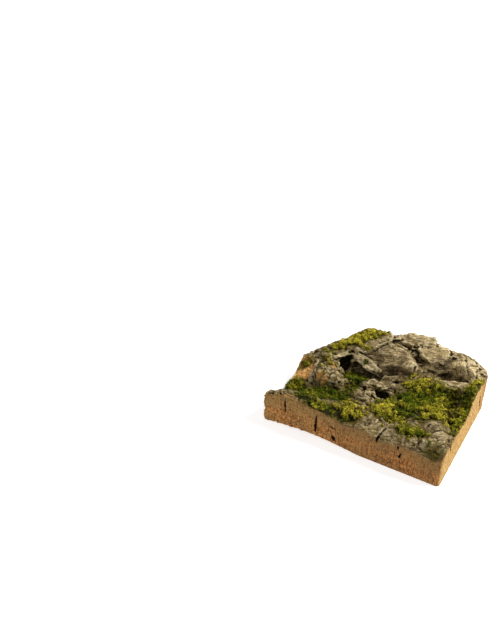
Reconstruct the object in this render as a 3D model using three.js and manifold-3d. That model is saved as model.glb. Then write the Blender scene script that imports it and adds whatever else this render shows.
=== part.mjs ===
// A slab of cork bark with moss growing on it, lying on its inner side.
// The front, right and left edges are sawn and the back edge is broken. The top is the tree's outer bark.
// Millimetres, +Z up. The slab is drawn from its front-left corner: +X runs along the sawn front edge and +Y
// to the back. The exported group then puts the origin under the middle of the slab.
import * as THREE from "three";
import { ImprovedNoise } from "three/addons/math/ImprovedNoise.js";
import { mergeVertices } from "three/addons/utils/BufferGeometryUtils.js";
import Module from "manifold-3d";

// Driving dimensions
const FRONT_LENGTH = 190; // sawn front edge
const CORNER_RADIUS = 4; // worn front-right corner
const ARCH_RISE = 4.4; // the inner side is hollow, as it lay round the trunk
const ARCH_START = 5;
const ARCH_END = 105; // right of this the slab lies flat on its inner side
const COLUMNS = 56; // grid of the bark's faces, along X
const ROWS = 44; // and along Y
const KNOB_SIZE = 8; // the bark's small knobs
const KNOB_HEIGHT = 1.1;
const MOSS_GAP = 0.3; // between a moss cushion and the bark under it
const MOSS_ROOT = 4; // how far a cushion is drawn into the bark before it is cut to the bark's shape
const MOSS_RIM = 0.35; // share of a cushion's thickness that is left at its rim
const MOSS_RINGS = 5;
const MOSS_SEGMENTS = 22;
const MOSS_LOBES = 0.22; // how far a cushion's outline strays from an ellipse
const MOSS_LOBE_WAVES = 1.6;
const MOSS_EDGE_INSET = 0.5; // cushions stop this far inside the slab's outline

// Where the broken back edge runs, as [x, y]
const BACK_EDGE = [
  [0, 88], [12, 103], [24, 118], [36, 133], [48, 147], [60, 152], [76, 153], [90, 157],
  [106, 161], [120, 160], [132, 155], [150, 156], [170, 152], [182, 147], [FRONT_LENGTH, 138],
];

// The top's crests, edges and hollows, as lines of [x, y, height]. The surface between them is smooth.
const RELIEF = {
  sawnFrontRim: [
    [0, 0, 32], [10, 0, 37], [22, 0, 39], [34, 0, 40], [47, 0, 39], [62, 0, 38], [80, 0, 34], [94, 0, 33.5],
    [104, 0, 36], [114, 0, 36], [122, 0, 32], [128, 0, 30], [140, 0, 33], [157, 0, 34], [170, 0, 32],
    [180, 0, 29], [FRONT_LENGTH, 0, 28],
  ],
  frontCrest: [
    [2, 6, 33], [12, 7, 37], [24, 8, 40], [40, 10, 39.5], [55, 13, 38], [66, 18, 37], [80, 20, 36],
    [100, 20, 37], [112, 18, 38], [124, 14, 35], [136, 11, 38], [150, 9, 40], [162, 9, 41], [174, 9, 42],
    [184, 9, 43],
  ],
  frontBank: [[0, 20, 22], [15, 21, 27], [30, 22, 29], [45, 24, 31], [60, 29, 32]],
  leftEdge: [[0, 8, 32], [0, 37, 12], [0, 50, 10.5], [0, 68, 13], [0, 77, 18], [0, 88, 27]],
  mossValley: [[6, 45, 12.5], [20, 43, 14.5], [35, 40, 18], [50, 38, 22], [62, 40, 24], [72, 44, 27]],
  leftMoundCrest: [[27, 63, 32], [38, 63, 38], [47, 59, 38.5], [57, 57, 36.5], [64, 56, 33]],
  leftMoundFoot: [[15, 58, 19], [29, 49, 20], [44, 46, 25], [58, 48, 26]],
  leftMoundBack: [[25, 75, 31], [38, 75, 34], [50, 71, 32]],
  brokenLeftSlope: [[5, 70, 14], [9, 65, 20], [10, 76, 23], [6, 81, 23]],
  backPlateau: [[6, 87, 30], [18, 85, 33], [24, 96, 35], [34, 93, 38], [38, 105, 39], [46, 113, 42]],
  plateauFar: [[22, 108, 35], [34, 122, 38], [44, 132, 41]],
  caveFloor: [[43, 101, 27], [46, 97, 21], [50, 92, 19]],
  mossFloor: [[56, 79, 21], [60, 85, 19], [64, 91, 18], [71, 88, 20], [79, 86, 22]],
  flakeRoot: [[56, 100, 38], [64, 101, 39], [74, 97, 37], [84, 91, 32]],
  backCrest: [[50, 138, 43], [57, 142, 46], [66, 142, 46.5], [76, 140, 44]],
  backCrestFront: [[52, 113, 43], [62, 113, 45], [70, 121, 46]],
  smoothPlateTop: [
    [72, 101, 44], [80, 109, 47], [91, 121, 50], [98, 124, 51], [107, 119, 49], [114, 112, 46],
  ],
  smoothPlateMiddle: [[82, 96, 37], [96, 104, 42], [110, 104, 41]],
  smoothPlateFoot: [[88, 87, 27.5], [100, 90, 28], [112, 93, 29], [121, 96, 30]],
  middleRidge: [
    [76, 72, 30], [83, 71, 32], [91, 76, 32.5], [100, 81, 33], [113, 87, 33], [124, 92, 33.5],
    [136, 100, 35.5], [147, 107, 37.5], [160, 110, 39.5], [172, 110, 41], [180, 106, 44],
  ],
  gapBehindRidge: [[132, 108, 30], [146, 116, 29], [158, 122, 27], [168, 121, 31]],
  centreHole: [[91, 63, 22], [95, 66, 18.5], [101, 68, 18.5], [106, 70, 23]],
  centreMound: [[76, 58, 30], [79, 49, 31.5], [87, 44, 34], [92, 50, 30.5]],
  mossField: [
    [112, 60, 27], [122, 68, 26], [132, 76, 26], [144, 88, 26], [156, 92, 29], [166, 86, 29], [160, 70, 30],
    [138, 62, 29],
  ],
  frontShoulder: [[100, 40, 34], [114, 42, 34.5], [128, 38, 34], [140, 42, 33], [149, 51, 33]],
  cornerLump: [[150, 28, 37], [158, 36, 39.5], [166, 44, 41], [173, 36, 42], [181, 25, 42.5], [187, 25, 40]],
  cornerLumpFoot: [[172, 58, 33], [181, 48, 35]],
  rightEdge: [
    [190, 4, 38], [190, 9, 44], [190, 18, 37], [190, 34, 36], [190, 41, 39], [190, 54, 36], [190, 68, 35],
    [190, 76, 41], [190, 84, 47], [190, 96, 50], [190, 106, 48], [190, 118, 43], [190, 130, 44],
    [190, 138, 42],
  ],
  rightBank: [[178, 66, 33], [181, 77, 36], [180, 88, 41], [181, 98, 46]],
  groove: [[94, 132, 41], [102, 132, 40], [111, 127, 38], [120, 121, 36]],
  pointedPlate: [[79, 146, 42], [87, 147, 48], [98, 150, 50.5], [109, 152, 51.5], [121, 153, 50.5]],
  secondPlate: [[126, 150, 46.5], [136, 147, 50], [143, 148, 46]],
  secondPlateFront: [[120, 136, 46], [130, 132, 45], [140, 130, 43], [149, 133, 44]],
  farRightCrest: [[150, 148, 46.5], [164, 149, 46.5], [173, 144, 46.5], [180, 140, 44.5]],
  farRightLump: [[158, 139, 46], [168, 135, 45], [178, 131, 45], [184, 126, 44]],
  brokenBackRim: [
    [0, 88, 27], [12, 103, 31], [24, 118, 34], [36, 133, 37], [48, 147, 42], [60, 152, 43], [76, 153, 40],
    [90, 157, 44], [106, 161, 46], [120, 160, 45], [132, 155, 44], [150, 156, 42], [170, 152, 41],
    [182, 147, 40],
  ],
};
const RELIEF_STEP = 5; // spacing of the points taken along each line
const RELIEF_SOFTNESS = 3.2; // how far a line's own height reaches before its neighbours count

// Moss cushions: middle, half sizes and turn of the patch seen from above, thickness, and colour
const MOSS = {
  moss_back_crest: { at: [50, 122], half: [27, 11], turn: 48, thick: 5, colour: 0x7d8a1c },
  moss_left_corner: { at: [10, 79], half: [6.5, 5], turn: 30, thick: 3.5, colour: 0x7a8320 },
  moss_left_edge: { at: [9, 47], half: [15, 10], turn: 98, thick: 5, colour: 0x78821a },
  moss_left_valley: { at: [48, 40], half: [25, 9], turn: 4, thick: 5, colour: 0x4f5a14 },
  moss_front_left: { at: [57, 8], half: [14, 5.5], turn: 6, thick: 4, colour: 0x868a22 },
  moss_front_middle: { at: [89, 17], half: [13, 9], turn: 10, thick: 4.5, colour: 0x7c8a16 },
  moss_front_centre: { at: [121, 35], half: [15, 10], turn: 5, thick: 5.5, colour: 0x7f8a1a },
  moss_front_right: { at: [149, 18], half: [12, 7], turn: 12, thick: 4, colour: 0x7a7f22 },
  moss_right_centre: { at: [165, 52], half: [12, 7], turn: 25, thick: 4.5, colour: 0x7a8320 },
  moss_centre_field: { at: [142, 77], half: [34, 23], turn: 34, thick: 6, colour: 0x56661a },
  moss_right_edge: { at: [184.5, 76], half: [33, 5.5], turn: 91, thick: 5, colour: 0x66751a },
  moss_under_flake: { at: [66, 86], half: [12, 9.5], turn: 20, thick: 4, colour: 0x414d12 },
};

const BARK_FINISH = { color: 0x8a7553, roughness: 0.95, metalness: 0 };
const MOSS_ROUGHNESS = 0.9;

const noise = new ImprovedNoise();
const wasm = await Module();
wasm.setup();

// Plan of the slab

function frontY(x) {
  const past = x - (FRONT_LENGTH - CORNER_RADIUS);
  return past <= 0 ? 0 : CORNER_RADIUS - Math.sqrt(Math.max(0, CORNER_RADIUS ** 2 - past ** 2));
}

function backY(x) {
  const next = Math.max(1, BACK_EDGE.findIndex(([edgeX]) => edgeX >= x));
  const [x0, y0] = BACK_EDGE[next - 1];
  const [x1, y1] = BACK_EDGE[next];
  return THREE.MathUtils.lerp(y0, y1, (x - x0) / (x1 - x0));
}

// Heights

const reliefPoints = Object.values(RELIEF).flatMap((line) => {
  const knots = line.map((point) => new THREE.Vector3(...point));
  const curve = new THREE.CatmullRomCurve3(knots, false, "centripetal");
  return curve.getSpacedPoints(Math.max(1, Math.round(curve.getLength() / RELIEF_STEP)));
});

function reliefHeight(x, y) {
  let heights = 0;
  let weights = 0;
  for (const point of reliefPoints) {
    const apart = (x - point.x) ** 2 + (y - point.y) ** 2;
    const weight = 1 / (apart + RELIEF_SOFTNESS ** 2) ** 2;
    heights += weight * point.z;
    weights += weight;
  }
  return heights / weights;
}

function topZ(x, y) {
  return reliefHeight(x, y) + KNOB_HEIGHT * noise.noise(x / KNOB_SIZE, y / KNOB_SIZE, 0);
}

function bottomZ(x) {
  const along = THREE.MathUtils.clamp((x - ARCH_START) / (ARCH_END - ARCH_START), 0, 1);
  return ARCH_RISE * Math.sin(Math.PI * along);
}

// Meshes and solids

function meshGeometry(points, triangles) {
  const geometry = new THREE.BufferGeometry();
  geometry.setAttribute("position", new THREE.Float32BufferAttribute(points.flat(), 3));
  geometry.setIndex(triangles.flat());
  return geometry;
}

function solidOf(geometry) {
  const bare = new THREE.BufferGeometry();
  bare.setAttribute("position", geometry.getAttribute("position"));
  bare.setIndex(geometry.getIndex());
  const merged = mergeVertices(bare);
  const vertProperties = merged.getAttribute("position").array;
  const triVerts = new Uint32Array(merged.getIndex().array);
  return new wasm.Manifold(new wasm.Mesh({ numProp: 3, vertProperties, triVerts }));
}

function geometryOf(solid) {
  const { vertProperties, triVerts } = solid.getMesh();
  const geometry = new THREE.BufferGeometry();
  geometry.setAttribute("position", new THREE.BufferAttribute(new Float32Array(vertProperties), 3));
  geometry.setIndex(new THREE.BufferAttribute(new Uint32Array(triVerts), 1));
  return geometry;
}

// The bark: a grid that follows the outline for the top, one strip for the arched inner side, and four walls

function barkGeometry() {
  const points = [];
  const triangles = [];
  const add = (point) => points.push(point) - 1;
  const quad = (a, b, c, d) => triangles.push([a, b, c], [a, c, d]);

  const top = [];
  const bottom = [];
  for (let column = 0; column <= COLUMNS; column++) {
    const x = (FRONT_LENGTH * column) / COLUMNS;
    const near = frontY(x);
    const far = backY(x);
    const rows = [];
    for (let row = 0; row <= ROWS; row++) {
      const y = THREE.MathUtils.lerp(near, far, row / ROWS);
      rows.push(add([x, y, topZ(x, y)]));
    }
    top.push(rows);
    bottom.push([add([x, near, bottomZ(x)]), add([x, far, bottomZ(x)])]);
  }

  for (let column = 0; column < COLUMNS; column++) {
    const [left, right] = [top[column], top[column + 1]];
    for (let row = 0; row < ROWS; row++) quad(left[row], right[row], right[row + 1], left[row + 1]);
    const [[nearLeft, farLeft], [nearRight, farRight]] = [bottom[column], bottom[column + 1]];
    quad(nearLeft, farLeft, farRight, nearRight);
    quad(nearLeft, nearRight, right[0], left[0]);
    quad(farRight, farLeft, left[ROWS], right[ROWS]);
  }

  // The left and right walls are flat: their outline runs along the bottom and back over the top.
  for (const column of [0, COLUMNS]) {
    const [near, far] = bottom[column];
    const ring = [near, far, ...[...top[column]].reverse()];
    const outline = ring.map((index) => new THREE.Vector2(points[index][1], points[index][2]));
    for (const [a, b, c] of THREE.ShapeUtils.triangulateShape(outline, [])) {
      const facing = column === 0 ? [ring[a], ring[c], ring[b]] : [ring[a], ring[b], ring[c]];
      triangles.push(facing);
    }
  }
  return meshGeometry(points, triangles);
}

// Moss: a domed cushion over its patch, kept inside the slab's outline and cut to the bark under it

function outlinePrism() {
  const inset = MOSS_EDGE_INSET;
  const shape = new THREE.Shape();
  const columns = Array.from({ length: COLUMNS + 1 }, (_, column) =>
    THREE.MathUtils.lerp(inset, FRONT_LENGTH - inset, column / COLUMNS),
  );
  columns.forEach((x) => shape.lineTo(x, frontY(x) + inset));
  columns.reverse().forEach((x) => shape.lineTo(x, backY(x) - inset));
  const depth = 2 * FRONT_LENGTH;
  return new THREE.ExtrudeGeometry(shape, { depth, bevelEnabled: false });
}

function cushionGeometry({ at, half, turn, thick }) {
  const points = [];
  const triangles = [];
  const angle = THREE.MathUtils.degToRad(turn);
  const add = (ring, segment, lower) => {
    const share = ring / MOSS_RINGS;
    const around = (2 * Math.PI * segment) / MOSS_SEGMENTS;
    const [cos, sin] = [Math.cos(around), Math.sin(around)];
    const stray = noise.noise(at[0] + MOSS_LOBE_WAVES * cos, at[1] + MOSS_LOBE_WAVES * sin, 0.5);
    const u = share * (1 + MOSS_LOBES * stray) * half[0] * cos;
    const v = share * (1 + MOSS_LOBES * stray) * half[1] * sin;
    const x = at[0] + u * Math.cos(angle) - v * Math.sin(angle);
    const y = at[1] + u * Math.sin(angle) + v * Math.cos(angle);
    const dome = MOSS_RIM + (1 - MOSS_RIM) * Math.sqrt(1 - share ** 2);
    points.push([x, y, reliefHeight(x, y) + (lower ? -MOSS_ROOT : thick * dome)]);
  };
  const index = (ring, segment, lower) => {
    const perSide = 1 + MOSS_RINGS * MOSS_SEGMENTS;
    const place = ring === 0 ? 0 : 1 + (ring - 1) * MOSS_SEGMENTS + (segment % MOSS_SEGMENTS);
    return place + (lower ? perSide : 0);
  };
  for (const lower of [false, true]) {
    add(0, 0, lower);
    for (let ring = 1; ring <= MOSS_RINGS; ring++)
      for (let segment = 0; segment < MOSS_SEGMENTS; segment++) add(ring, segment, lower);
  }
  for (let segment = 0; segment < MOSS_SEGMENTS; segment++) {
    const next = segment + 1;
    for (const lower of [false, true]) {
      const face = (a, b, c) => triangles.push(lower ? [a, c, b] : [a, b, c]);
      const corner = (ring, where) => index(ring, where, lower);
      face(corner(0, 0), corner(1, segment), corner(1, next));
      for (let ring = 1; ring < MOSS_RINGS; ring++) {
        face(corner(ring, segment), corner(ring + 1, segment), corner(ring + 1, next));
        face(corner(ring, segment), corner(ring + 1, next), corner(ring, next));
      }
    }
    const rim = [index(MOSS_RINGS, segment, false), index(MOSS_RINGS, next, false)];
    const foot = [index(MOSS_RINGS, segment, true), index(MOSS_RINGS, next, true)];
    triangles.push([foot[0], foot[1], rim[1]], [foot[0], rim[1], rim[0]]);
  }
  return meshGeometry(points, triangles);
}

function largestBody(solid) {
  return solid.decompose().reduce((largest, body) => (body.volume() > largest.volume() ? body : largest));
}

// Assembly

const bark = new THREE.Mesh(barkGeometry(), new THREE.MeshStandardMaterial(BARK_FINISH));
bark.name = "cork_bark";

const raisedBark = solidOf(bark.geometry.clone().translate(0, 0, MOSS_GAP));
const prism = solidOf(outlinePrism());

const cushions = Object.entries(MOSS).map(([name, patch]) => {
  const body = largestBody(solidOf(cushionGeometry(patch)).intersect(prism).subtract(raisedBark));
  const cushion = new THREE.Mesh(
    geometryOf(body),
    new THREE.MeshStandardMaterial({ color: patch.colour, roughness: MOSS_ROUGHNESS, metalness: 0 }),
  );
  cushion.name = name;
  return cushion;
});

const slab = new THREE.Group();
slab.add(bark, ...cushions);
const box = new THREE.Box3().setFromObject(slab);
const middle = box.getCenter(new THREE.Vector3());
slab.position.set(-middle.x, -middle.y, -box.min.z);

export default new THREE.Group().add(slab);
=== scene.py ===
import math

import bpy
import numpy as np
import openvdb
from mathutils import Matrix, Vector
from mathutils.bvhtree import BVHTree


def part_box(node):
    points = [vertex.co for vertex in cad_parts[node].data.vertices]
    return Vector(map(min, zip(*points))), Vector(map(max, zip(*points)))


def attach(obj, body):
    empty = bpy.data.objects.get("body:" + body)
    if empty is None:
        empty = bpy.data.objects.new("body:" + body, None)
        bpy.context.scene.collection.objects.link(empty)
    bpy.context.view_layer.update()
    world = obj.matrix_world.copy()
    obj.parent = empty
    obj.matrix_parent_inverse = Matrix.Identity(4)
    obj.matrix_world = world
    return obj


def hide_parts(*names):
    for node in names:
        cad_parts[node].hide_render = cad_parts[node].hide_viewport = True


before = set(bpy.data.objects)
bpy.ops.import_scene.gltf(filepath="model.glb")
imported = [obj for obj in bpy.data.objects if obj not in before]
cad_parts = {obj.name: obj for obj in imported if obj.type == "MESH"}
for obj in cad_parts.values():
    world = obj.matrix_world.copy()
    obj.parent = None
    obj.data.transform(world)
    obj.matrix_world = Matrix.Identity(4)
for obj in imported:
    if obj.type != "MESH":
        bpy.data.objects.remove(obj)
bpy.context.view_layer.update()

# Units: the bark is drawn in millimetres from its front-left corner on the floor.
# X runs along the sawn front, Y to the back and Z up.
MM = 0.001
BARK_LOW, BARK_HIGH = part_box("cork_bark")
LENGTH = (BARK_HIGH.x - BARK_LOW.x) / MM
DEPTH = (BARK_HIGH.y - BARK_LOW.y) / MM
HEIGHT = (BARK_HIGH.z - BARK_LOW.z) / MM

# Camera: where it stands (mm, from the same corner) and how it looks down on the slab
CAMERA_AT = (307.2, -542.5, 560.2)
CAMERA_AZIMUTH = 30.72
CAMERA_ELEVATION = 35.0
FOCAL_PIXELS = 800.0
IMAGE_LONG_SIDE = 642
SENSOR = 36.0

# Grid that the bark's shape is worked out on (mm), and the triangles that its mesh is thinned to
VOXEL = 0.75
MARGIN = 4.0
BAND = 4.5
FAR = 99.0
BARK_TRIANGLES = 190000
SEED = 7

# Radii of the upright corners at the front right and the back right (mm)
CORNER_ROUND = 4.0
BACK_ROUND = 9.0

# Rays that read the CAD (mm): how far outside it they start, how far inside its edges they stay,
# where they read the back edge and the underside, and how far the top that they read is smoothed
RAY_START = 50.0
LEFT_INSET = 0.6
RIGHT_INSET = 1.0
FRONT_INSET = 0.5
BACK_INSET = 0.8
BACK_READ_HEIGHT = 12.0
UNDER_READ_DEPTH = 60.0
TOP_BLUR = 1.4

# Brings the gradient noise to about -1 to 1
NOISE_GAIN = 1.6

# Turn from one leaf or ray to the next that spreads them evenly
GOLDEN_TURN = math.radians(137.5)


def to_metres(points):
    return np.asarray(points, float) * MM + np.array(BARK_LOW)


def add_object(name, data):
    piece = bpy.data.objects.new(name, data)
    bpy.context.scene.collection.objects.link(piece)
    return piece


def point_along(piece, direction):
    piece.rotation_mode = "QUATERNION"
    piece.rotation_quaternion = Vector(direction).to_track_quat("-Z", "Y")


def smoothstep(low, high, value):
    t = np.clip((value - low) / (high - low), 0.0, 1.0)
    return t * t * (3.0 - 2.0 * t)


def blur(grid, reach):
    """Gaussian blur of a 2-D grid; reach is in cells."""
    radius = max(1, int(3 * reach))
    kernel = np.exp(-0.5 * (np.arange(-radius, radius + 1) / reach) ** 2)
    kernel /= kernel.sum()
    for axis in (0, 1):
        pad = [(radius, radius) if a == axis else (0, 0) for a in (0, 1)]
        wide = np.pad(grid, pad, mode="edge")
        grid = np.apply_along_axis(lambda line: np.convolve(line, kernel, mode="valid"), axis, wide)
    return grid


# Noise

def hash_tables(seed):
    rng = np.random.default_rng(seed)
    spin = rng.permutation(256)
    arrows = rng.normal(size=(256, 3))
    arrows /= np.linalg.norm(arrows, axis=1, keepdims=True)
    return spin, arrows.astype(np.float32), rng.random((256, 3), dtype=np.float32)


def cell_numbers(spin, cell):
    x, y, z = (cell[:, k] & 255 for k in range(3))
    return spin[(spin[(spin[x] + y) & 255] + z) & 255]


def noise(points, size, seed):
    """Smooth gradient noise, about -1 to 1, with lumps of a size in mm: one size, or one for each axis."""
    spin, arrows, _ = hash_tables(SEED + seed)
    place = (points / np.asarray(size, np.float32)).astype(np.float32)
    cell = np.floor(place).astype(np.int64)
    inside = place - cell
    fade = inside ** 3 * (inside * (inside * 6 - 15) + 10)
    total = np.zeros(len(points), np.float32)
    for corner in np.ndindex(2, 2, 2):
        arrow = arrows[cell_numbers(spin, cell + corner)]
        lean = ((inside - np.array(corner, np.float32)) * arrow).sum(1)
        weight = np.ones(len(points), np.float32)
        for axis, side in enumerate(corner):
            weight *= fade[:, axis] if side else 1 - fade[:, axis]
        total += weight * lean
    return total * NOISE_GAIN


def fractal(points, size, seed, octaves=3):
    total = np.zeros(len(points), np.float32)
    for octave in range(octaves):
        total += noise(points, np.asarray(size) / 2 ** octave, seed + 31 * octave) / 2 ** octave
    return total


def cells(points, size, seed):
    """Distances to the nearest and second nearest of scattered points about one size apart, in sizes."""
    spin, _, jitter = hash_tables(SEED + seed)
    place = (points / np.asarray(size, np.float32)).astype(np.float32)
    cell = np.floor(place).astype(np.int64)
    first = np.full(len(points), FAR, np.float32)
    second = first.copy()
    for step in np.ndindex(3, 3, 3):
        other = cell + np.array(step) - 1
        centre = other + jitter[cell_numbers(spin, other)]
        apart = np.sqrt(((place - centre) ** 2).sum(1)).astype(np.float32)
        second = np.minimum(second, np.maximum(first, apart))
        first = np.minimum(first, apart)
    return first, second


# The bark's coarse shape, read from the CAD

def tree_of(mesh):
    return BVHTree.FromPolygons([v.co for v in mesh.vertices], [p.vertices[:] for p in mesh.polygons])


def read_frame(xs, ys):
    """Top height at each grid point, and the back edge and the underside along X, all in mm."""
    tree = tree_of(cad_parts["cork_bark"].data)

    def cast(x, y, z, direction):
        start = Vector(to_metres((x, y, z)))
        return tree.ray_cast(start, Vector(direction))[0]

    inner = np.clip(xs, LEFT_INSET, LENGTH - LEFT_INSET)
    back = np.array([cast(x, DEPTH + RAY_START, BACK_READ_HEIGHT, (0, -1, 0)).y for x in inner])
    back = (back - BARK_LOW.y) / MM
    under = np.array([cast(x, UNDER_READ_DEPTH, -RAY_START, (0, 0, 1)).z for x in inner]) / MM
    top = np.empty((len(xs), len(ys)))
    for i, x in enumerate(np.clip(xs, LEFT_INSET, LENGTH - RIGHT_INSET)):
        start = FRONT_INSET if x < LENGTH - CORNER_ROUND else CORNER_ROUND
        edge = np.interp(x, xs, back)
        for j, y in enumerate(np.clip(ys, start, edge - BACK_INSET)):
            top[i, j] = cast(x, y, HEIGHT + RAY_START, (0, 0, -1)).z / MM
    return blur(top, TOP_BLUR / VOXEL), back, under


class Field:
    """Distances to the bark's surface on a grid, below zero inside."""

    def __init__(self):
        self.x = np.arange(-MARGIN, LENGTH + MARGIN, VOXEL, dtype=np.float32)
        self.y = np.arange(-MARGIN, DEPTH + MARGIN, VOXEL, dtype=np.float32)
        self.z = np.arange(-MARGIN, HEIGHT + 2 * MARGIN, VOXEL, dtype=np.float32)
        self.origin = np.array((self.x[0], self.y[0], self.z[0]))
        self.top, self.back, self.under = read_frame(self.x, self.y)
        slope_x, slope_y = np.gradient(self.top, VOXEL)
        steep = np.sqrt(1 + slope_x ** 2 + slope_y ** 2)
        self.f = ((self.z[None, None, :] - self.top[..., None]) / steep[..., None]).astype(np.float32)

    def around(self, at, reach):
        """The part of the grid near a point: its slices, and its points measured from that point."""
        slices = []
        for axis, centre in zip((self.x, self.y, self.z), at):
            low, high = np.searchsorted(axis, (centre - reach, centre + reach))
            slices.append(slice(low, high))
        near = np.meshgrid(self.x[slices[0]], self.y[slices[1]], self.z[slices[2]], indexing="ij")
        return tuple(slices), [part - centre for part, centre in zip(near, at)]

    def join(self, slices, other, soft):
        mine = self.f[slices]
        h = np.clip(0.5 + 0.5 * (other - mine) / soft, 0, 1)
        self.f[slices] = other * (1 - h) + mine * h - soft * h * (1 - h)

    def cut(self, slices, other, soft):
        mine = self.f[slices]
        h = np.clip(0.5 - 0.5 * (-other - mine) / soft, 0, 1)
        self.f[slices] = -other * (1 - h) + mine * h + soft * h * (1 - h)

    def points(self, mask):
        i, j, k = np.nonzero(mask)
        return np.stack([self.x[i], self.y[j], self.z[k]], 1)


def turned(away, turn=0.0, pitch=0.0, roll=0.0):
    """Offsets in a piece's own axes: turned about Z, then its X end raised, then its Y side raised."""
    x, y, z = away
    a, p, r = (math.radians(v) for v in (turn, pitch, roll))
    u, v = x * math.cos(a) + y * math.sin(a), y * math.cos(a) - x * math.sin(a)
    u, w = u * math.cos(p) + z * math.sin(p), z * math.cos(p) - u * math.sin(p)
    v, w = v * math.cos(r) + w * math.sin(r), w * math.cos(r) - v * math.sin(r)
    return u, v, w


# Plates and flakes of bark that stand out of the coarse shape: middle, half sizes, turn, pitch, roll
PLATES = {
    "pointed_back_plate": ((105, 146.5, 47.6), (21, 8.5, 1.8), 8, 5, 24),
    "second_back_plate": ((131, 138, 44.6), (18, 13, 2.0), 10, 0, 12),
    "layer_behind_dome": ((68, 128, 45.3), (20, 10, 1.4), 59, 3, 6),
    "curled_flake": ((69.5, 98.2, 36.8), (18, 6.0, 1.3), -20, -6, 34),
    "plateau_lip": ((34, 97, 36.6), (15, 10, 2.2), 50, 4, -4),
    "ridge_right": ((160, 106, 35.6), (21, 4.5, 1.8), 0, 7, 10),
    "ridge_left": ((109, 93, 32.5), (20, 4.5, 1.8), 31, 4, 12),
}
# Rounded knobs: middle, half sizes
KNOBS = {
    "corner_lump": ((170, 34, 37.0), (14, 11, 6.5)),
    "centre_mound": ((88, 43, 29), (10, 8, 5.5)),
    "right_knob": ((177, 98, 42), (7, 6, 4)),
    "back_knob_left": ((36, 109, 38), (5, 4, 3)),
    "back_knob_middle": ((46, 109, 39), (6, 4.5, 3)),
    "back_knob_right": ((56, 108, 41), (5, 4, 3)),
    "flake_root": ((51, 104, 36), (5, 3, 2.5)),
    "ridge_end_left": ((82, 69, 30), (5, 4.5, 4)),
    "ridge_end_right": ((91, 75, 31), (7, 5, 4)),
    "ridge_end_low": ((87, 63, 26), (4, 4, 4)),
    "front_knob": ((133.5, 4.5, 31.5), (6, 4.5, 3)),
    "hole_left": ((93, 66, 24), (3.5, 3, 4)),
    "hole_front": ((102, 63, 23), (5, 3, 4.5)),
    "hole_lid": ((101, 76, 30), (3.5, 4, 2.5)),
    "moss_knob_centre": ((128, 51, 33), (4.5, 4, 3)),
    "moss_knob_right": ((179, 67, 34), (5, 5, 3)),
    "moss_knob_front": ((151, 28, 37), (5, 4, 3)),
}
# Holes and undercuts: middle, half sizes, turn
HOLLOWS = {
    "cave": ((45, 97, 26), (8.5, 7.5, 7), 20),
    "under_flake": ((66, 92.5, 26.5), (18, 8.5, 8), -18),
    "centre_hole": ((100, 70, 21.5), (11, 6.5, 6.5), 12),
    "lower_valley": ((69, 63, 29), (8.5, 12, 8), -20),
    "gap_behind_ridge": ((158, 120.5, 32), (17, 7.5, 6), 4),
    "right_hole": ((171, 87, 32), (6, 3.5, 4), 20),
    "slope_hole": ((9, 66, 19), (2.5, 2, 2), 0),
    "groove": ((103, 137, 41.5), (9, 2.5, 3), -8),
    "tuft_hole": ((160, 15, 40), (2.5, 2, 2.5), 0),
}
# Grooves between plates, as lines over the bark, each with its radius
GROOVES = {
    "dome_right": (0.9, [(111, 125, 40), (117.5, 116, 42), (119.5, 106, 39), (120, 103, 34)]),
    "under_pointed_plate": (1.3, [(95, 137.8, 43), (103, 136.5, 41.6), (110, 134.8, 41.8), (116, 131, 40)]),
    "flake_back": (0.9, [(58, 105.5, 40), (66, 103, 40.5), (75, 100, 41), (84, 96, 37.5)]),
    "layer_front": (1.0, [(65, 103.5, 40), (71.5, 109, 44.5), (78, 119.5, 46.5), (84.5, 133, 45.5)]),
    "plateau": (1.0, [(28.4, 94, 37.5), (33, 93, 36.5), (38.5, 93.2, 35)]),
    "back_knobs": (0.8, [(36, 107, 40), (41, 105.5, 40), (46, 106, 40)]),
    "mound_long": (1.0, [(41.5, 60.2, 38), (48, 57, 37.5), (53.3, 55, 36), (54.6, 48.9, 28)]),
    "mound_back": (1.0, [(36, 74, 36), (44, 70, 36.5), (52, 72, 33)]),
    "lump_top": (1.2, [(163, 31, 41), (170, 39, 42.5), (180, 43, 39.5), (187, 34, 38)]),
    "lump_middle": (1.0, [(168, 23, 41.5), (176.7, 30.2, 43), (185, 30.5, 40)]),
    "lump_low": (0.7, [(169, 15, 41.5), (177.7, 22.1, 42.5), (186.3, 23.4, 40)]),
    "band_left": (0.8, [(149.9, 6, 38.5), (151.2, 0.6, 35)]),
    "band_middle": (0.8, [(161.2, 9, 41), (165.2, 2.6, 35.5)]),
    "band_right": (0.8, [(171.9, 7, 41), (176, 3.2, 34)]),
    "back_left_dent": (1.8, [(124, 162, 48.5), (127, 152, 49), (129, 146, 49)]),
    "back_middle_dent": (1.6, [(141, 160, 46), (144, 150, 47), (146, 142, 46.5)]),
    "back_right_dent": (1.6, [(157, 158, 46), (160, 148, 47), (163, 140, 46.5)]),
    "front_slit": (1.3, [(127, 13, 35.5), (125.6, 6, 33), (124.5, -1, 29)]),
    "corner_back_dent": (1.6, [(172, 151, 44), (174, 144, 45.5), (175, 139, 45.5)]),
    "corner_end_dent": (1.5, [(189, 128, 42), (184, 130, 44), (180, 133, 45)]),
    "left_notch": (1.8, [(-0.3, -3, 15), (-0.3, 20, 15.5)]),
    "far_right_middle": (1.2, [(163, 140, 47), (167, 132, 44), (170, 127, 40)]),
    "far_right_end": (1.2, [(178, 137, 45), (177, 130, 44.5), (180, 122, 44)]),
}
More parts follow.
